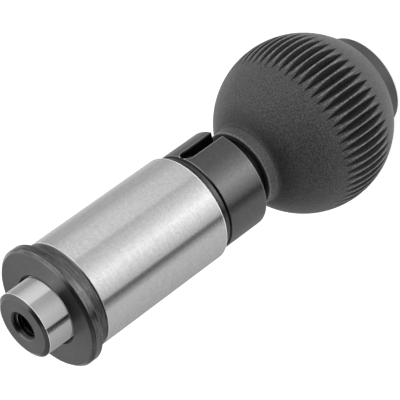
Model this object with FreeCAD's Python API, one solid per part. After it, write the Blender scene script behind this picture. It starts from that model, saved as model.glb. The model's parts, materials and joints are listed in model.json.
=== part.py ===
import FreeCAD, Part
import math
import os

# Indexing plunger with a flanged guide sleeve, a sprung pin and a fluted ball grip.
# Millimetres. The plunger stands on its end cap: the origin is the centre of the cap's flat, and
# +Z runs up the axis to the pin's nose. "Front" is the nose's side. The slots open along +-X.

# Guide sleeve, outside
sleeve_d = 20.0              # ground seat in the jig
flange_d = 22.4
flange_t = 2.0
flange_chamfer = 0.55
rim_break = 0.12
undercut_d = 19.6            # relief behind the flange
undercut_len = 2.2
seat_lead = 0.25             # bevel from the undercut up to the ground seat
seat_len = 28.0              # ground seat with its rear chamfer
seat_chamfer = 0.3
groove_d = 17.9              # relief between the ground seat and the neck
groove_len = 1.55
neck_d = 18.7
neck_len = 8.65
neck_chamfer = 0.25
neck_round = 0.2

# Guide sleeve, inside
pin_d = 12.0                 # indexing pin and its bore
pin_run = 0.03               # radial running clearance of pin and spindle
guide_len = 8.6              # the pin's bore behind the flange plane
chamber_d = 14.0
bore_mouth = 0.45            # width of the steep recess where the pin comes out
bore_mouth_depth = 1.0
rear_mouth = 0.5

# Indexing pin
reach = 5.2                  # pin beyond the flange's front face
nose_bevel_r = 0.75
nose_bevel_l = 0.4
thread_d = 5.0               # extraction thread in the nose
thread_depth = 10.0
thread_mouth = 0.35
drill_point = 118.0          # degrees
collar_gap = 0.3             # stop collar and spring to the chamber's wall
collar_t = 2.2
relief_depth = 0.25          # grinding relief in front of the collar
relief_len = 1.0
spindle_d = 7.0
stud_d = 6.0
stud_end_chamfer = 0.6

# Spring, rear bush and retaining ring
spring_len = 16.5            # fitted length, pin out
spring_wire = 1.2
spring_coils = 4.0           # working coils between the two closed ends
bush_len = 3.1
bush_fit = 0.01
bush_chamfer = 0.3
ring_t = 1.0
ring_bite = 0.5              # depth of the ring's groove in the bore
ring_play = 0.05
ring_width = 1.3
ring_gap = 36.0              # degrees between the ring's ears
ear_r = 1.15
ear_hole_d = 1.2

# Cross pin and its slots
cross_d = 2.5
cross_fit = 0.01
cross_recess = 1.3           # each end below the neck's surface
cross_chamfer = 0.2
slot_w = 2.8
slot_rib = 0.7               # wall left between the retaining ring and the slots
slot_end_gap = 0.3           # cross pin to the slot's round end, pin out

# Ball grip
ball_d = 32.0
knob_gap = 2.85              # grip's neck to the sleeve, pin out
grip_neck_d = 14.8
grip_neck_len = 2.02         # to the start of the fillet into the ball
grip_neck_round = 0.25
grip_fillet = 1.0
flutes = 60
flute_depth = 1.18
flute_angle = 63.0           # degrees, included
flute_phase = 1.6            # degrees, as the grip came round when its nut was drawn up
overrun = 1.0                # of a cutter past the surface it opens

# Insert, washer and nut in the grip
insert_flats = 11.0
insert_len = 18.5
insert_waist_d = 9.0
insert_waist_len = 4.0
hub_d = 12.8                 # insert's hub, which runs on into the sleeve's neck
hub_gap = 0.35               # hub to retaining ring, pin out
hub_chamfer = 0.4
shoulder_depth = 1.5         # spindle's shoulder below the grip's front face
insert_fit = 0.01
stud_clear = 0.15
washer_d = 12.0
washer_t = 1.6
washer_hole_d = 6.4
nut_flats = 10.0
nut_h = 5.0
nut_bevel = 30.0             # degrees
thread_gap = 0.02
stud_over = 1.6              # stud beyond the nut
pocket_d = 14.4

# End cap
cap_d = 18.1
cap_t = 2.25
cap_round = 0.4
cap_wall = 1.4
cap_ledge = 0.14             # flat of the ball that shows round the cap
skirt_fit = 0.1
skirt_len = 2.4
skirt_wall = 1.2
bead = 0.25                  # snap bead round the skirt
bead_half = 0.5

# Radii and heights worked out from the sizes above, from the cap upwards
sleeve_r = sleeve_d / 2
neck_r = neck_d / 2
pin_r = pin_d / 2
chamber_r = chamber_d / 2
spindle_r = spindle_d / 2
stud_r = stud_d / 2
ball_r = ball_d / 2
cap_seat_r = cap_d / 2 + cap_ledge
cap_seat_z = cap_t
ball_z = cap_seat_z + math.sqrt(ball_r ** 2 - cap_seat_r ** 2)
fillet_x = grip_neck_d / 2 + grip_fillet
fillet_z = ball_z + math.sqrt((ball_r + grip_fillet) ** 2 - fillet_x ** 2)
sleeve_end_z = fillet_z + grip_neck_len + knob_gap
neck_front_z = sleeve_end_z + neck_len
seat_end_z = neck_front_z + groove_len
seat_front_z = seat_end_z + seat_len
undercut_end_z = seat_front_z + seat_lead
flange_z = undercut_end_z + undercut_len
flange_front_z = flange_z + flange_t
nose_z = flange_front_z + reach
step_z = flange_z - guide_len
collar_back_z = step_z - collar_t
bush_front_z = collar_back_z - spring_len
bush_back_z = bush_front_z - bush_len
ring_back_z = bush_back_z - ring_t
slot_end_z = ring_back_z - ring_play - slot_rib
cross_z = slot_end_z - slot_end_gap - cross_d / 2
grip_front_z = sleeve_end_z - knob_gap
hub_front_z = ring_back_z - hub_gap
shoulder_z = grip_front_z - shoulder_depth
insert_back_z = grip_front_z - insert_len
washer_back_z = insert_back_z - washer_t
nut_back_z = washer_back_z - nut_h
stud_end_z = nut_back_z - stud_over


def on_plane(mark):
    """Point of the XZ plane for a (radius, height) mark."""
    return FreeCAD.Vector(mark[0], 0, mark[1])


def rounded(before, corner, after, radius):
    """Marks of a corner rounded with a tangent arc."""
    c = on_plane(corner)
    back = (on_plane(before) - c).normalize()
    ahead = (on_plane(after) - c).normalize()
    half = back.getAngle(ahead) / 2
    middle = (back + ahead).normalize()
    start = c + back * (radius / math.tan(half))
    end = c + ahead * (radius / math.tan(half))
    through = c + middle * (radius / math.sin(half) - radius)
    return [(start.x, start.z), (through.x, through.z, "arc"), (end.x, end.z)]


def turned(marks):
    """Solid turned about Z from a closed outline of (radius, height) corners.

    A mark that ends in "arc" is a point on the arc between the corners before and after it.
    """
    edges = []
    count = len(marks)
    k = 0
    while k < count:
        here, following = marks[k], marks[(k + 1) % count]
        if len(following) == 3:
            corner = marks[(k + 2) % count]
            edges.append(Part.Arc(on_plane(here), on_plane(following), on_plane(corner)).toShape())
            k += 2
        else:
            edges.append(Part.makeLine(on_plane(here), on_plane(following)))
            k += 1
    face = Part.Face(Part.Wire(edges))
    return face.revolve(FreeCAD.Vector(0, 0, 0), FreeCAD.Vector(0, 0, 1), 360)


def hexagon(flats, low, high):
    """Hexagonal bar along Z with flats facing +-Y."""
    corner_r = flats / math.sqrt(3)
    corners = []
    for k in range(7):
        a = math.radians(60 * k)
        corners.append(FreeCAD.Vector(corner_r * math.cos(a), corner_r * math.sin(a), low))
    return Part.Face(Part.makePolygon(corners)).extrude(FreeCAD.Vector(0, 0, high - low))


def bar(radius, low, high):
    """Round bar along Z."""
    return Part.makeCylinder(radius, high - low, FreeCAD.Vector(0, 0, low))


def cross_bar(radius, half_length, height):
    """Round bar along X through the axis."""
    start = FreeCAD.Vector(-half_length, 0, height)
    return Part.makeCylinder(radius, 2 * half_length, start, FreeCAD.Vector(1, 0, 0))


def guide_sleeve():
    flange_r, undercut_r, groove_r = flange_d / 2, undercut_d / 2, groove_d / 2
    bore_r = pin_r + pin_run
    ring_r = chamber_r + ring_bite
    outline = [
        (bore_r + bore_mouth, flange_front_z),
        (flange_r - flange_chamfer, flange_front_z),
        (flange_r, flange_front_z - flange_chamfer),
        (flange_r, flange_z + rim_break),
        (flange_r - rim_break, flange_z),
        (undercut_r, flange_z),
        (undercut_r, undercut_end_z),
        (sleeve_r, seat_front_z),
        (sleeve_r, seat_end_z + seat_chamfer),
        (sleeve_r - seat_chamfer, seat_end_z),
        (groove_r, seat_end_z),
        (groove_r, neck_front_z),
        (neck_r - neck_chamfer, neck_front_z),
        (neck_r, neck_front_z - neck_chamfer),
    ]
    outline += rounded((neck_r, neck_front_z), (neck_r, sleeve_end_z), (0, sleeve_end_z), neck_round)
    outline += [
        (chamber_r + rear_mouth, sleeve_end_z),
        (chamber_r, sleeve_end_z + rear_mouth),
        (chamber_r, ring_back_z - ring_play),
        (ring_r, ring_back_z - ring_play),
        (ring_r, bush_back_z),
        (chamber_r, bush_back_z),
        (chamber_r, step_z),
        (bore_r, step_z),
        (bore_r, flange_front_z - bore_mouth_depth),
    ]
    slot_r = slot_w / 2
    reach_out = neck_r + overrun
    slot_run = slot_end_z - slot_r - sleeve_end_z + overrun
    slot = Part.makeBox(2 * reach_out, slot_w, slot_run,
                        FreeCAD.Vector(-reach_out, -slot_r, sleeve_end_z - overrun))
    slot = slot.fuse(cross_bar(slot_r, reach_out, slot_end_z - slot_r))
    return turned(outline).cut(slot)


def indexing_pin():
    """Pin, stop collar, spindle and stud, turned in one piece and cross drilled."""
    thread_r = thread_d / 2
    hole_z = nose_z - thread_depth
    tip_z = hole_z - thread_r / math.tan(math.radians(drill_point / 2))
    collar_r = chamber_r - collar_gap
    relief_r = pin_r - relief_depth
    outline = [
        (0, tip_z),
        (thread_r, hole_z),
        (thread_r, nose_z - thread_mouth),
        (thread_r + thread_mouth, nose_z),
        (pin_r - nose_bevel_r, nose_z),
        (pin_r, nose_z - nose_bevel_l),
        (pin_r, step_z + relief_len),
        (relief_r, step_z + relief_len),
        (relief_r, step_z),
        (collar_r, step_z),
        (collar_r, collar_back_z),
        (spindle_r, collar_back_z),
        (spindle_r, shoulder_z),
        (stud_r, shoulder_z),
        (stud_r, stud_end_z + stud_end_chamfer),
        (stud_r - stud_end_chamfer, stud_end_z),
        (0, stud_end_z),
    ]
    hole = cross_bar(cross_d / 2 + cross_fit, neck_r, cross_z)
    return turned(outline).cut(hole)


def spring():
    """Compression spring with closed and ground ends, between collar and bush."""
    wire_r = spring_wire / 2
    coil_r = chamber_r - collar_gap - wire_r
    closed = spring_wire * 1.05
    ground = wire_r / 2
    working = spring_len - 2 * (closed + ground)
    path, low, turned_by = [], bush_front_z + ground, 0
    for coils, height in ((1, closed), (spring_coils, working), (1, closed)):
        coil = Part.makeHelix(height / coils, height, coil_r)
        coil.rotate(FreeCAD.Vector(0, 0, 0), FreeCAD.Vector(0, 0, 1), turned_by)
        coil.translate(FreeCAD.Vector(0, 0, low))
        path += coil.Edges
        low += height
        turned_by += 360 * coils
    route = Part.Wire(path)
    start = FreeCAD.Vector(coil_r, 0, bush_front_z + ground)
    section = Part.Wire(Part.makeCircle(wire_r, start, FreeCAD.Vector(0, 1, 0)))
    body = route.makePipeShell([section], True, True)
    return body.common(bar(chamber_r, bush_front_z, collar_back_z))


def rear_bush():
    bush_r, hole_r = chamber_r - bush_fit, spindle_r + pin_run
    return turned([
        (hole_r + bush_chamfer, bush_front_z),
        (bush_r - bush_chamfer, bush_front_z),
        (bush_r, bush_front_z - bush_chamfer),
        (bush_r, bush_back_z + bush_chamfer),
        (bush_r - bush_chamfer, bush_back_z),
        (hole_r + bush_chamfer, bush_back_z),
        (hole_r, bush_back_z + bush_chamfer),
        (hole_r, bush_front_z - bush_chamfer),
    ])


def retaining_ring():
    """Flat snap ring for the bore, open at +Y, with an eared and drilled end each side."""
    outer_r = chamber_r + ring_bite - ring_play
    ring = bar(outer_r, ring_back_z, bush_back_z)
    ring = ring.cut(bar(outer_r - ring_width, ring_back_z - overrun, bush_back_z + overrun))
    ear_at = outer_r - ear_r - ring_play
    ears = []
    holes = []
    for side in (-1, 1):
        a = math.radians(90 + side * ring_gap / 2)
        place = FreeCAD.Vector(ear_at * math.cos(a), ear_at * math.sin(a), ring_back_z)
        ears.append(Part.makeCylinder(ear_r, ring_t, place))
        below = place - FreeCAD.Vector(0, 0, overrun)
        holes.append(Part.makeCylinder(ear_hole_d / 2, ring_t + 2 * overrun, below))
    half_w = 2 * outer_r * math.sin(math.radians(ring_gap / 2))
    far_y = 2 * outer_r * math.cos(math.radians(ring_gap / 2))
    low = ring_back_z - overrun
    gap = Part.makePolygon([
        FreeCAD.Vector(0, 0, low),
        FreeCAD.Vector(-half_w, far_y, low),
        FreeCAD.Vector(half_w, far_y, low),
        FreeCAD.Vector(0, 0, low),
    ])
    gap = Part.Face(gap).extrude(FreeCAD.Vector(0, 0, ring_t + 2 * overrun))
    return ring.cut(gap).fuse(ears).removeSplitter().cut(holes)


def cross_pin():
    half = neck_r - cross_recess
    pin = turned([
        (0, -half),
        (cross_d / 2 - cross_chamfer, -half),
        (cross_d / 2, -half + cross_chamfer),
        (cross_d / 2, half - cross_chamfer),
        (cross_d / 2 - cross_chamfer, half),
        (0, half),
    ])
    pin.rotate(FreeCAD.Vector(0, 0, 0), FreeCAD.Vector(0, 1, 0), 90)
    pin.translate(FreeCAD.Vector(0, 0, cross_z))
    return pin


def insert_form():
    """Outside of the insert: a hexagon with a round waist that the plastic locks into."""
    middle_z = (grip_front_z + insert_back_z) / 2
    form = hexagon(insert_flats, insert_back_z, grip_front_z)
    band_low, band_high = middle_z - insert_waist_len / 2, middle_z + insert_waist_len / 2
    band = bar(insert_flats, band_low, band_high).cut(bar(insert_waist_d / 2, band_low, band_high))
    return form.cut(band)


def knob_insert():
    """Insert with a round hub in front of the grip, which the cross pin passes through."""
    hub = turned([
        (0, grip_front_z),
        (hub_d / 2, grip_front_z),
        (hub_d / 2, hub_front_z - hub_chamfer),
        (hub_d / 2 - hub_chamfer, hub_front_z),
        (0, hub_front_z),
    ])
    hole = bar(stud_r + stud_clear, insert_back_z - overrun, hub_front_z + overrun)
    seat = bar(spindle_r + insert_fit, shoulder_z, hub_front_z + overrun)
    pin_hole = cross_bar(cross_d / 2 + cross_fit, neck_r, cross_z)
    return insert_form().fuse(hub).cut([hole, seat, pin_hole])


def ball_outline():
    """Grip from its neck's front, over a fillet and the ball, to the cap's seat and the nut's pocket."""
    neck = grip_neck_d / 2
    centre = FreeCAD.Vector(fillet_x, 0, fillet_z)
    to_neck = FreeCAD.Vector(-1, 0, 0)
    to_ball = (FreeCAD.Vector(0, 0, ball_z) - centre).normalize()
    through = centre + (to_neck + to_ball).normalize() * grip_fillet
    meets = centre + to_ball * grip_fillet
    groove_z = cap_seat_z + skirt_len / 2
    pocket_r = pocket_d / 2
    marks = [(0, grip_front_z)]
    marks += rounded((0, grip_front_z), (neck, grip_front_z), (neck, ball_z), grip_neck_round)
    marks += [
        (neck, fillet_z),
        (through.x, through.z, "arc"),
        (meets.x, meets.z),
        (ball_r, ball_z, "arc"),
        (cap_seat_r, cap_seat_z),
        (pocket_r, cap_seat_z),
        (pocket_r, groove_z - bead_half),
        (pocket_r + bead, groove_z),
        (pocket_r, groove_z + bead_half),
        (pocket_r, insert_back_z),
        (0, insert_back_z),
    ]
    return marks


def flute_cutters():
    """V prisms parallel to the axis, which run out of the ball as long lens shapes."""
    root_r = ball_r - flute_depth
    top_r = ball_r + overrun
    half_w = (top_r - root_r) * math.tan(math.radians(flute_angle / 2))
    half_h = math.sqrt(ball_r ** 2 - root_r ** 2) + overrun
    low = ball_z - half_h
    section = Part.Face(Part.makePolygon([
        FreeCAD.Vector(root_r, 0, low),
        FreeCAD.Vector(top_r, half_w, low),
        FreeCAD.Vector(top_r, -half_w, low),
        FreeCAD.Vector(root_r, 0, low),
    ]))
    prism = section.extrude(FreeCAD.Vector(0, 0, 2 * half_h))
    cutters = []
    for k in range(flutes):
        copy = prism.copy()
        copy.rotate(FreeCAD.Vector(0, 0, 0), FreeCAD.Vector(0, 0, 1), flute_phase + k * 360 / flutes)
        cutters.append(copy)
    return cutters


def knob():
    grip = turned(ball_outline()).cut(insert_form())
    return grip.cut(Part.makeCompound(flute_cutters()))


def knob_washer():
    ring = bar(washer_d / 2, washer_back_z, insert_back_z)
    return ring.cut(bar(washer_hole_d / 2, washer_back_z, insert_back_z))


def knob_nut():
    """Hexagon nut with both ends bevelled to the circle across its flats."""
    corner_r = nut_flats / math.sqrt(3)
    flat_r = nut_flats / 2
    drop = (corner_r - flat_r) * math.tan(math.radians(nut_bevel))
    blank = turned([
        (0, nut_back_z),
        (flat_r, nut_back_z),
        (corner_r, nut_back_z + drop),
        (corner_r, washer_back_z - drop),
        (flat_r, washer_back_z),
        (0, washer_back_z),
    ])
    blank = hexagon(nut_flats, nut_back_z, washer_back_z).common(blank)
    return blank.cut(bar(stud_r + thread_gap, nut_back_z, washer_back_z))


def end_cap():
    """Cover with a skirt that snaps into the grip's pocket."""
    cap_r = cap_d / 2
    skirt_r = pocket_d / 2 - skirt_fit
    hollow_r = skirt_r - skirt_wall
    skirt_z = cap_seat_z + skirt_len
    groove_z = cap_seat_z + skirt_len / 2
    marks = [(0, 0)]
    marks += rounded((0, 0), (cap_r, 0), (cap_r, cap_seat_z), cap_round)
    marks += [
        (cap_r, cap_seat_z),
        (skirt_r, cap_seat_z),
        (skirt_r, groove_z - bead_half),
        (skirt_r + bead, groove_z),
        (skirt_r, groove_z + bead_half),
        (skirt_r, skirt_z),
        (hollow_r, skirt_z),
        (hollow_r, cap_wall),
        (0, cap_wall),
    ]
    return turned(marks)


pieces = {
    "guide_sleeve": guide_sleeve,
    "indexing_pin": indexing_pin,
    "spring": spring,
    "rear_bush": rear_bush,
    "retaining_ring": retaining_ring,
    "cross_pin": cross_pin,
    "knob": knob,
    "knob_insert": knob_insert,
    "knob_washer": knob_washer,
    "knob_nut": knob_nut,
    "end_cap": end_cap,
}

os.makedirs("parts", exist_ok=True)
for name, make in pieces.items():
    shape = make()
    shape.exportStep("parts/%s.step" % name)
    print(name, shape.isValid(), len(shape.Solids), round(shape.Volume, 2))
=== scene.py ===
import json
import math

import bpy
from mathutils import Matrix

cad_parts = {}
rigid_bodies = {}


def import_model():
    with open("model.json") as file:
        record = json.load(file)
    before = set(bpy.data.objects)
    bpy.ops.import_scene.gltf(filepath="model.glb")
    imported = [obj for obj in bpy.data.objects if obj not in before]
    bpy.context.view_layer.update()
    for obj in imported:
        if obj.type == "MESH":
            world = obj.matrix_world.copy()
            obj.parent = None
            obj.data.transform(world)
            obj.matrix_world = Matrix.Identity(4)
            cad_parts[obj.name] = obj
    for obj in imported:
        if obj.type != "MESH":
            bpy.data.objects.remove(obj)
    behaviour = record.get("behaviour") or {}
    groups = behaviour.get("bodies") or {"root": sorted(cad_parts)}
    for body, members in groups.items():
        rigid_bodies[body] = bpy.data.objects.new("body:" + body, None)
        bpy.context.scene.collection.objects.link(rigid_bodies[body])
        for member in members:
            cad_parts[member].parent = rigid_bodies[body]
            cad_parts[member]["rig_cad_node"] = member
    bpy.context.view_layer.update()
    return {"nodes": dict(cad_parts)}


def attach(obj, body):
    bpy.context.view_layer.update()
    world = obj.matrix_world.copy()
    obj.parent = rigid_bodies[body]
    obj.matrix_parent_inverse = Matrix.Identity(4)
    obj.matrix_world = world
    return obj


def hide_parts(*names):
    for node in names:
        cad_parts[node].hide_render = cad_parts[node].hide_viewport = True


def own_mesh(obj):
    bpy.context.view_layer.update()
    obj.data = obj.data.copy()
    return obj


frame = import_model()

bpy.ops.object.select_all(action="DESELECT")


# Camera. A long lens looks down on the plunger from the nose's side. It is rolled, so that the
# plunger, which stands upright on its end cap, lies across the picture from lower left to upper
# right.
bpy.ops.object.camera_add(
    location=(0.20275, -0.25127, 0.23648),
    rotation=(math.radians(-44.26), math.radians(43.883), math.radians(-105.632)),
)
camera = bpy.context.object
camera.data.sensor_width = 36
camera.data.lens = 199.06
camera.data.clip_start = 0.01
bpy.context.scene.camera = camera
bpy.context.scene.view_settings.view_transform = "Standard"


# Floor. A wide sheet of white card under the end cap. It moves with the plunger, because the knob
# is what stands on it. Its material is the first, so the tool for shader sums is defined here.
class Reading:
    """A number, colour or vector that changes over a surface. Sums of readings add Math nodes."""

    def __init__(self, tree, socket=None):
        self.tree = tree
        self.socket = socket

    def node(self, kind, settings=None, inputs=None, output=0):
        """A new node: its settings first, then the values or links of its sockets."""
        new = self.tree.nodes.new(kind)
        for name, value in (settings or {}).items():
            if name == "stops":
                ramp = new.color_ramp
                while len(ramp.elements) < len(value):
                    ramp.elements.new(1)
                for stop, (place, level) in zip(ramp.elements, value):
                    stop.position = place
                    stop.color = (level, level, level, 1)
            else:
                setattr(new, name, value)
        for name, value in (inputs or {}).items():
            if isinstance(value, Reading):
                self.tree.links.new(value.socket, new.inputs[name])
            else:
                new.inputs[name].default_value = value
        return Reading(self.tree, new.outputs[output])

    def math(self, operation, *values):
        return self.node("ShaderNodeMath", {"operation": operation}, dict(enumerate(values)))

    def __add__(self, other):
        return self.math("ADD", self, other)

    def __radd__(self, other):
        return self.math("ADD", other, self)

    def __sub__(self, other):
        return self.math("SUBTRACT", self, other)

    def __rsub__(self, other):
        return self.math("SUBTRACT", other, self)

    def __mul__(self, other):
        return self.math("MULTIPLY", self, other)

    def __rmul__(self, other):
        return self.math("MULTIPLY", other, self)


def new_material(name, **uniform):
    """A material, its shader and a reading of the place. What is the same all over is set here."""
    material = bpy.data.materials.new(name)
    material.use_nodes = True
    shader = material.node_tree.nodes["Principled BSDF"]
    for socket, value in uniform.items():
        shader.inputs[socket.replace("_", " ")].default_value = value
    place = Reading(material.node_tree).node("ShaderNodeTexCoord", output="Object")
    return material, shader, place


def connect(shader, socket, reading):
    reading.tree.links.new(reading.socket, shader.inputs[socket])


glow_in_picture, glow_on_plunger = 0.8, 1.45
bpy.ops.mesh.primitive_plane_add(size=6, location=(0, 0, 0))
floor = bpy.context.object
floor.name = "floor"
white_card, shader, place = new_material(
    "white card", Base_Color=(0.8, 0.8, 0.8, 1), Roughness=0.95, Emission_Color=(1, 1, 1, 1))
in_picture = place.node("ShaderNodeLightPath", output="Is Camera Ray")
connect(shader, "Emission Strength",
        in_picture * glow_in_picture + (1 - in_picture) * glow_on_plunger)
floor.data.materials.append(white_card)
floor.visible_glossy = False
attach(floor, "plunger")


# Light. Two soft lamps, one on each side of the plunger, in a white room. What the steel mirrors
# is the room: a low band of wall with one thin dark gap, the walls above and below that band, the
# ceiling, a dark patch straight up and white card straight down.
def soft_lamp(name, place, power):
    """A square lamp that looks at the middle of the plunger."""
    bpy.ops.object.light_add(type="AREA", location=place)
    lamp = bpy.context.object
    lamp.name = name
    lamp.data.size = 0.6
    lamp.data.energy = power
    plunger_middle = (0, 0, 0.045)
    towards = [aim - start for aim, start in zip(plunger_middle, place)]
    lamp.rotation_euler = (
        math.atan2(math.hypot(towards[0], towards[1]), -towards[2]),
        0,
        math.atan2(towards[1], towards[0]) - math.pi / 2,
    )
    lamp.visible_glossy = False


soft_lamp("lamp_side", (0.62, 0.36, 0.25), 4)
soft_lamp("lamp_rear", (-0.55, -0.40, 0.20), 1.5)


def part_of(vector, axis):
    """The X, Y or Z of a vector."""
    return vector.node("ShaderNodeSeparateXYZ", inputs={0: vector}, output=axis)


def step(reading, low, high):
    """0 below low and 1 above high, with a smooth rise between them."""
    return reading.node(
        "ShaderNodeMapRange",
        {"interpolation_type": "SMOOTHSTEP"},
        {"Value": reading, "From Min": low, "From Max": high},
    )


def within(reading, start, full, fading, end):
    """1 from full to fading and 0 outside start and end, with a smooth slope at each side."""
    return step(reading, start, full) * (1 - step(reading, fading, end))


def blend(factor, first, second):
    """Two numbers, the second where the factor is 1."""
    return first + factor * (second - first)


def brightness_round(bearing, stops):
    """How bright one part of the room is, by the bearing. 0.5 is the bearing of the picture."""
    return bearing.node("ShaderNodeValToRGB", {"stops": stops}, {0: bearing})


world = bpy.data.worlds.new("white room")
bpy.context.scene.world = world
world.use_nodes = True
background = world.node_tree.nodes["Background"]
background.inputs["Color"].default_value = (1, 1, 1, 1)
room = Reading(world.node_tree)
direction = room.node("ShaderNodeTexCoord", output="Generated")
across, along, rise = (part_of(direction, axis) for axis in "XYZ")
picture_bearing = math.radians(-51.1)
picture_x, picture_y = math.cos(picture_bearing), math.sin(picture_bearing)
bearing = room.math(
    "ARCTAN2", across * -picture_y + along * picture_x, across * picture_x + along * picture_y)
bearing = bearing * (1 / math.tau) + 0.5
band = brightness_round(bearing, [
    (0.00, 0.35),
    (0.14, 0.42),
    (0.28, 0.57),
    (0.308, 0.50),
    (0.327, 0.18),
    (0.332, 0.01),
    (0.352, 0.01),
    (0.364, 0.60),
    (0.42, 0.66),
    (0.47, 0.69),
    (0.56, 0.52),
    (0.612, 0.53),
    (0.628, 0.96),
    (0.67, 1.00),
    (0.74, 0.82),
    (0.79, 0.48),
    (0.86, 0.40),
    (0.93, 0.62),
    (1.00, 0.72),
])
walls = brightness_round(bearing, [
    (0.00, 0.80),
    (0.14, 0.65),
    (0.29, 0.62),
    (0.32, 0.40),
    (0.34, 0.05),
    (0.355, 0.05),
    (0.375, 0.60),
    (0.42, 1.5),
    (0.48, 2.7),
    (0.54, 1.5),
    (0.59, 0.80),
    (0.64, 0.12),
    (0.76, 0.10),
    (0.86, 0.50),
    (0.93, 1.2),
    (1.00, 0.90),
])
ceiling = brightness_round(bearing, [
    (0.00, 0.52),
    (0.07, 0.32),
    (0.22, 0.40),
    (0.27, 0.04),
    (0.54, 0.04),
    (0.60, 1.0),
    (0.66, 1.4),
    (0.75, 1.1),
    (0.86, 0.95),
    (1.00, 0.58),
])
straight_up, straight_down = 0.04, 0.95
wide_gap = step(rise, -0.456, -0.450) * within(bearing, 0.303, 0.310, 0.356, 0.363)
in_band = within(rise, -0.57, -0.53, -0.39, -0.35)
mirrored = blend(in_band, walls, band * (1 - wide_gap * 0.95))
mirrored = blend(step(rise, -0.05, 0.10), mirrored, ceiling)
mirrored = blend(step(rise, 0.94, 0.97), mirrored, straight_up)
mirrored = blend(1 - step(rise, -0.78, -0.70), mirrored, straight_down)
in_picture = room.node("ShaderNodeLightPath", output="Is Camera Ray")
in_mirror = room.node("ShaderNodeLightPath", output="Is Glossy Ray")
fill_light = 0.3
connect(background, "Strength",
        in_picture + in_mirror * mirrored + fill_light * (1 - in_picture) * (1 - in_mirror))


# Guide sleeve. One turned piece of hardened steel, blackened all over. Its seat is then ground
# bright between the undercut behind the flange and the groove before the neck. The seat's rims,
# the slots' rims and the neck's ends carry painted highlights, and the groove, its corner and the
# bore carry painted shade.
seat_front, seat_end, seat_radius = 0.0732, 0.0452, 0.0100
flange_front, flange_back = 0.07765, 0.07565
undercut_radius, mouth_radius = 0.0098, 0.00648
neck_front, neck_end, neck_radius = 0.04365, 0.0350, 0.00935
slot_half, slot_round = 0.0014, 0.0421
sleeve_black, seat_bright = 0.17, 0.66
grinding_depth = 0.000004


def spread(place, scale):
    """Place times a number for each axis. A large one draws a pattern in along its axis."""
    return place.node("ShaderNodeMapping", inputs={"Vector": place, "Scale": scale})


def noise(place, scale, detail=2.0, roughness=0.5):
    inputs = {"Vector": place, "Scale": scale, "Detail": detail, "Roughness": roughness}
    return place.node("ShaderNodeTexNoise", inputs=inputs, output="Fac")


def mixed(factor, first, second):
    """Two colours, the second where the factor is 1."""
    inputs = {0: factor, 6: first, 7: second}
    return factor.node("ShaderNodeMix", {"data_type": "RGBA"}, inputs, 2)


cool = 1.01


def grey(level):
    """One grey colour with a trace of blue."""
    return (level, level, level * cool, 1)


def grey_of(level):
    """The same grey, from a level that changes."""
    return level.node("ShaderNodeCombineColor", inputs={0: level, 1: level, 2: level * cool})


def bump(height, distance):
    return height.node("ShaderNodeBump", inputs={"Height": height, "Distance": distance})


def radius_of(place):
    flat = place.node(
        "ShaderNodeVectorMath", {"operation": "MULTIPLY"}, {0: place, 1: (1, 1, 0)})
    return flat.node("ShaderNodeVectorMath", {"operation": "LENGTH"}, {0: flat}, "Value")


def coat(name, material):
    """Gives a CAD node this material alone."""
    slots = frame["nodes"][name].data.materials
    slots.clear()
    slots.append(material)


sleeve_steel, shader, place = new_material(
    "sleeve steel", Anisotropic=0.82, Anisotropic_Rotation=0.25)
z, r = part_of(place, "Z"), radius_of(place)
lines = noise(spread(place, (1, 1, 40)), 260, 3)
streaks = noise(spread(place, (1, 1, 12)), 420, 2)
grain = noise(place, 2500, 2)

# The ground seat, with brighter bevels and a painted highlight on its rims
ground = within(z, seat_end - 0.00002, seat_end + 0.00002,
                seat_front + 0.00003, seat_front + 0.00007)
ground = ground * step(r, seat_radius - 0.00045, seat_radius - 0.00035)
bevels = ground * (1 - step(r, seat_radius - 0.00006, seat_radius - 0.00001))
rear_rim = 1 - step(z, seat_end + 0.00034, seat_end + 0.00044)
front_rim = step(z, seat_front - 0.00004, seat_front)
rims = ground * (rear_rim + front_rim)

# The flange, its undercut, and the groove and its corner, which carry painted shade
on_face = step(z, flange_front - 0.0001, flange_front)
on_flange = step(z, seat_front, seat_front + 0.0003) * (1 - on_face)
in_undercut = on_flange * (1 - step(r, undercut_radius + 0.00002, undercut_radius + 0.0001))
in_undercut = in_undercut * (1 - step(z, flange_back, flange_back + 0.0001))
in_groove = within(z, neck_front, neck_front + 0.00002, seat_end - 0.00004, seat_end)
beside_seat = in_groove * step(z, neck_front + 0.0006, neck_front + 0.0007)
in_corner = within(z, neck_front - 0.0002, neck_front - 0.00014,
                   neck_front + 0.00005, neck_front + 0.00012)

# Painted highlights on the neck's ends and on the slot's rim
on_neck = 1 - step(z, neck_front, neck_front + 0.00002)
front_line = within(z, neck_front - 0.0003, neck_front - 0.00026,
                    neck_front - 0.0002, neck_front - 0.00014)
rear_edge = 1 - step(z, neck_end + 0.0002, neck_end + 0.0003)
edge_highlight = front_line * 0.35 + rear_edge * 0.5
edge_highlight = edge_highlight * step(r, neck_radius - 0.00035, neck_radius - 0.00025)
beside = part_of(place, "Y")
ahead = z.math("MAXIMUM", z - slot_round, 0)
from_slot = z.math("SQRT", beside * beside + ahead * ahead)
# A painted highlight along the slot's rim
slot_rim_highlight = (1 - step(from_slot, slot_half + 0.00006, slot_half + 0.00018)) * on_neck
slot_rim_highlight = slot_rim_highlight * step(r, neck_radius - 0.00015, neck_radius - 0.00005)

# The bore and the recess round the pin, darkened with painted shade
in_mouth = step(z, flange_back, flange_back + 0.0001)
in_mouth = in_mouth * (1 - step(r, mouth_radius + 0.00006, mouth_radius + 0.00012))
inside = on_neck * (1 - step(r, neck_radius - 0.00045, neck_radius - 0.00035)) + in_mouth

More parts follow.
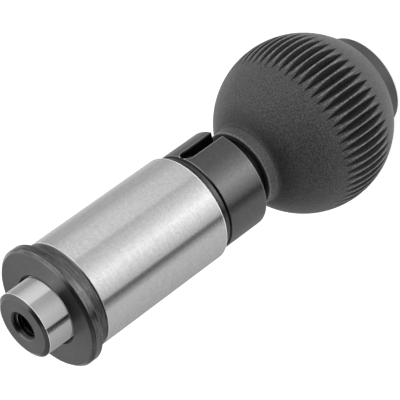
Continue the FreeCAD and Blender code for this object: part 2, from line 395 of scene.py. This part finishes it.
blackened_and_painted_light = sleeve_black + (streaks - 0.5) * (0.02 + on_flange * 0.32) + (grain - 0.5) * 0.09
# Painted shade in the groove, deeper beside the seat and deepest in the corner at the neck
blackened_and_painted_light = blackened_and_painted_light * (1 - in_groove * 0.3) * (1 - beside_seat * 0.4) * (1 - in_corner * 0.8)
# Painted highlights on the slot's rim and the neck's ends, and painted shade in the bore and the
# recess
blackened_and_painted_light = (blackened_and_painted_light + slot_rim_highlight * 0.2 + edge_highlight * 0.2) * (1 - inside * 0.85)
# The ground seat's colour, with a painted highlight on its rims
bright = seat_bright + rims * 0.25 + (grain - 0.5) * 0.2 + (streaks - 0.5) * 0.1
relief = lines * ground * 0.6 + streaks * (on_flange + ground * 0.5) + grain * (0.6 - ground * 0.3)
connect(shader, "Base Color", mixed(ground, grey_of(blackened_and_painted_light), grey_of(bright)))
connect(shader, "Metallic",
        1 - ground * 0.12 - rims * 0.4 - bevels * 0.2 - (edge_highlight + slot_rim_highlight) * 0.3)
connect(shader, "Roughness",
        0.31 - ground * 0.145 + in_undercut * 0.2 + inside * 0.3 + (lines - 0.5) * 0.10)
connect(shader, "Normal", bump(relief, grinding_depth))
coat("guide_sleeve", sleeve_steel)
frame["nodes"]["guide_sleeve"].visible_glossy = False


# Indexing pin. Turned from hardened steel with its stop collar, spindle and stud, blackened, then
# ground on the 12 mm diameter alone, so its end face, bevel and tapped hole stay dark. The bevel
# and the tapped hole are darkened further with painted shade, the thread's crests and the line at
# the bevel's edge carry painted highlights, and the pin is painted dark as shade below the flange's
# face.
pin_nose, pin_radius = 0.08285, 0.0060
bevel_length, bevel_inner = 0.0004, 0.00525
crest_r, root_r, mouth_r = 0.00207, 0.00252, 0.00285
hole_depth = 0.0105
pin_black, pin_bright = 0.19, 0.64
pin_steel, shader, place = new_material("pin steel", Anisotropic=0.5, Anisotropic_Rotation=0.25)
z, r = part_of(place, "Z"), radius_of(place)
lines = noise(spread(place, (1, 1, 40)), 260, 3)
bevel_start = pin_nose - bevel_length
on_nose = step(z, bevel_start - 0.00002, bevel_start)
ground = within(r, pin_radius - 0.00006, pin_radius - 0.00003,
                pin_radius + 0.00002, pin_radius + 0.00005)
# Below the flange's face the pin keeps the dark colour, as painted shade in the recess and the bore
ground = ground * (1 - on_nose) * step(z, flange_front - 0.00006, flange_front)
# A painted highlight line on the ground diameter next to the bevel
edge = ground * step(z, bevel_start - 0.00014, bevel_start - 0.0001)
bevel = on_nose * step(r, bevel_inner + 0.00001, bevel_inner + 0.00005)
in_hole = step(z, pin_nose - hole_depth, pin_nose - hole_depth + 0.0001)
in_hole = in_hole * (1 - step(r, root_r - 0.00012, mouth_r + 0.00002))
on_crest = in_hole * (1 - step(r, crest_r + 0.00003, crest_r + 0.00009))
# Painted shade on the bevel and in the tapped hole, and a painted highlight on the thread's crests
blackened_and_painted_light = (pin_black + (lines - 0.5) * 0.1) * (1 - bevel * 0.2) * (1 - in_hole * 0.75)
blackened_and_painted_light = blackened_and_painted_light + on_crest * 0.5
connect(shader, "Base Color", mixed(ground, grey_of(blackened_and_painted_light), grey_of(pin_bright + edge * 0.3)))
connect(shader, "Metallic", 1 - ground * 0.08 - edge * 0.4)
connect(shader, "Roughness", 0.34 - ground * 0.25 - bevel * 0.14 + (lines - 0.5) * 0.08)
connect(shader, "Normal", bump(lines, grinding_depth))
coat("indexing_pin", pin_steel)


# Thread in the pin's nose. An M5 thread tapped 9.6 mm deep, whose ridge winds up the hole's wall
# and runs out in the 45 degree countersink at its mouth. It is a square that is tapered towards
# the hole's middle and wound up as a screw.
pitch, turns = 0.0008, 12
crest_width, root_width = 0.0002, 0.0007
ridge_r, ridge_depth = (crest_r + root_r) / 2, root_r - crest_r
first_z = pin_nose - turns * pitch - 0.0001


def pick(thing):
    """Selects this piece alone, for the operators."""
    bpy.ops.object.select_all(action="DESELECT")
    thing.select_set(True)
    bpy.context.view_layer.objects.active = thing


bpy.ops.mesh.primitive_plane_add(
    size=ridge_depth, location=(ridge_r, 0, first_z), rotation=(math.pi / 2, 0, 0))
thread = bpy.context.object
thread.name = "thread"
bpy.ops.object.transform_apply(location=True, rotation=True, scale=True)
bpy.ops.object.mode_set(mode="EDIT")
bpy.ops.mesh.delete(type="ONLY_FACE")
bpy.ops.object.mode_set(mode="OBJECT")
for outwards, width in ((1, root_width), (-1, crest_width)):
    for vertex in thread.data.vertices:
        vertex.select = (vertex.co.x - ridge_r) * outwards > 0
    bpy.ops.object.mode_set(mode="EDIT")
    bpy.ops.transform.resize(
        value=(1, 1, width / ridge_depth), center_override=(ridge_r, 0, first_z))
    bpy.ops.object.mode_set(mode="OBJECT")
bpy.ops.object.modifier_add(type="SCREW")
winding = thread.modifiers["Screw"]
winding.axis = "Z"
winding.angle = 2 * math.pi
winding.screw_offset = pitch
winding.iterations = turns
winding.steps = winding.render_steps = 48
bpy.ops.object.modifier_apply(modifier="Screw")
bpy.ops.object.mode_set(mode="EDIT")
bpy.ops.mesh.select_all(action="SELECT")
bpy.ops.mesh.fill_holes(sides=4)
bpy.ops.mesh.select_all(action="SELECT")
bpy.ops.mesh.normals_make_consistent(inside=False)
bpy.ops.object.mode_set(mode="OBJECT")
past_nose = 0.001
countersink_depth = mouth_r + past_nose
bpy.ops.mesh.primitive_cone_add(
    vertices=96, radius1=0, radius2=countersink_depth, depth=countersink_depth,
    location=(0, 0, pin_nose + past_nose - countersink_depth / 2))
countersink = bpy.context.object
pick(thread)
bpy.ops.object.modifier_add(type="BOOLEAN")
mouth = thread.modifiers["Boolean"]
mouth.operation = "DIFFERENCE"
mouth.solver = "EXACT"
mouth.object = countersink
bpy.ops.object.modifier_apply(modifier="Boolean")
pick(countersink)
bpy.ops.object.delete()
pick(thread)
bpy.ops.object.shade_smooth_by_angle(angle=math.radians(25))
thread.data.materials.append(pin_steel)
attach(thread, "plunger")


# Ball grip. Black glass-filled plastic, moulded on its insert in a spark-eroded mould, which leaves
# a fine, dull grain. The sixty flutes are filled with painted shade and the ridges between them
# carry a painted highlight. The collar's rim carries a painted highlight, and its front face and
# the ball beside it painted shade.
ball_middle, ball_radius = 0.01535, 0.016
flutes, flute_phase = 60, 1.6
flute_bottom, flute_top = 0.0091, 0.0216
ridge_bottom, ridge_top = 0.0100, 0.0210
collar_front, collar_flat = 0.03215, 0.00715
grip_black, flute_painted_shade = 0.05, 0.013
grip_plastic, shader, place = new_material("grip plastic")
centred = place.node(
    "ShaderNodeVectorMath", {"operation": "SUBTRACT"}, {0: place, 1: (0, 0, ball_middle)})
out = centred.node("ShaderNodeVectorMath", {"operation": "LENGTH"}, {0: centred}, "Value")
x, y, z = (part_of(place, axis) for axis in "XYZ")
r = radius_of(place)
grain = noise(place, 4200, 1.5, 0.6)
blotch = noise(place, 900, 2)
# The flutes, filled with painted shade
in_flute = 1 - step(out, ball_radius - 0.0002, ball_radius - 0.00002)
in_flute = in_flute * within(
    z, flute_bottom, flute_bottom + 0.0002, flute_top - 0.0002, flute_top)
round_flutes = y.math("ARCTAN2", y, x) * flutes - math.radians(flutes * flute_phase)
# A painted highlight on the ridges between the flutes
ridge_highlight = 1 - step(round_flutes.math("COSINE", round_flutes), -1.0, -0.8)
ridge_highlight = ridge_highlight * within(z, ridge_bottom, ridge_bottom + 0.002, ridge_top - 0.002, ridge_top)
# Painted shade on the ball beside the collar and on the collar's front face, and a painted
# highlight on its rim
collar = step(z, collar_front - 0.00225, collar_front - 0.00195)
beside_collar = (1 - collar) * step(z, collar_front - 0.00515, collar_front - 0.00265)
past_flat = step(r, collar_flat - 0.00005, collar_flat + 0.00005)
collar_rim_highlight = step(z, collar_front - 0.00035, collar_front - 0.00025) * past_flat
collar_face = step(z, collar_front - 0.00015, collar_front - 0.00005) * (1 - past_flat)
surface = grip_black + (step(grain, 0.3, 0.7) - 0.5) * (1 - collar * 0.5) * 0.06
surface = surface * (
    1 + collar * 0.15 + collar_rim_highlight * 1.2 + ridge_highlight * 1.8 - beside_collar * 0.5)
surface = surface * (1 - collar_face * 0.75)
connect(shader, "Base Color", mixed(in_flute, grey_of(surface), grey(flute_painted_shade)))
connect(shader, "Roughness",
        0.36 + grain * 0.2 + in_flute * 0.35 - collar * 0.18 + collar_face * 0.3)
connect(shader, "Normal", bump(grain + blotch * 0.4, 0.00016))
coat("knob", grip_plastic)


# End cap. A lid of the same plastic from a polished mould, so it is smoother than the grip. It
# snaps into the grip's rear pocket with a bead on its skirt, and covers the nut.
cap_plastic, shader, place = new_material("cap plastic")
grain = noise(place, 1800, 2)
connect(shader, "Base Color", mixed(grain, grey(0.045), grey(0.055)))
connect(shader, "Roughness", grain * 0.1 + 0.4)
connect(shader, "Normal", bump(grain, 0.000006))
coat("end_cap", cap_plastic)


# Spring. Hard-drawn steel wire, wound with closed and ground ends. It sits between the pin's
# collar and the rear bush, and a full pull of the knob squeezes it to about half its length.
pick(frame["nodes"]["spring"])
bpy.ops.object.duplicate()
coil_spring = bpy.context.object
coil_spring.name = "coil_spring"
del coil_spring["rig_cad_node"]
bpy.ops.object.mode_set(mode="EDIT")
bpy.ops.mesh.select_all(action="SELECT")
bpy.ops.mesh.remove_doubles(threshold=1e-7)
bpy.ops.mesh.customdata_custom_splitnormals_clear()
bpy.ops.object.mode_set(mode="OBJECT")
bpy.ops.object.shade_smooth_by_angle(angle=math.radians(35))
spring_wire, shader, place = new_material("spring wire", Metallic=1.0)
drawn = noise(spread(place, (1, 1, 6)), 700, 3)
connect(shader, "Base Color", mixed(drawn, grey(0.22), grey(0.34)))
connect(shader, "Roughness", drawn * 0.2 + 0.22)
coil_spring.data.materials.clear()
coil_spring.data.materials.append(spring_wire)
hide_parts("spring")
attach(coil_spring, "sleeve")
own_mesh(coil_spring)


# Rear bush and retaining ring. The bush is turned and closes the sleeve behind the spring. The
# ring is stamped from spring steel, phosphated, and snapped into the bore behind the bush.
phosphated_steel, shader, place = new_material("phosphated steel", Metallic=0.9)
grain = noise(place, 1600, 4, 0.7)
connect(shader, "Base Color", mixed(grain, grey(0.05), grey(0.11)))
connect(shader, "Roughness", grain * 0.2 + 0.42)
connect(shader, "Normal", bump(grain, 0.000006))
coat("rear_bush", phosphated_steel)
coat("retaining_ring", phosphated_steel)


# Cross pin and the grip's insert with its hub. Turned from plain steel and blackened, and coloured
# near black as painted shade in the slots and behind the sleeve. The pin runs in the sleeve's slots
# and goes through the hub and the spindle.
hub_steel, shader, place = new_material("hub steel", Metallic=1.0)
lines = noise(spread(place, (1, 1, 20)), 300, 2)
connect(shader, "Base Color", mixed(lines, grey(0.02), grey(0.03)))
connect(shader, "Roughness", lines * 0.15 + 0.45)
coat("cross_pin", hub_steel)
coat("knob_insert", hub_steel)


# Washer and nut. Zinc plated steel. They hold the grip on the spindle's stud from inside its rear
# pocket, under the end cap.
zinc, shader, place = new_material("zinc", Metallic=1.0)
spangle = noise(place, 900, 3, 0.6)
connect(shader, "Base Color", mixed(spangle, grey(0.50), grey(0.64)))
connect(shader, "Roughness", spangle * 0.2 + 0.25)
coat("knob_washer", zinc)
coat("knob_nut", zinc)
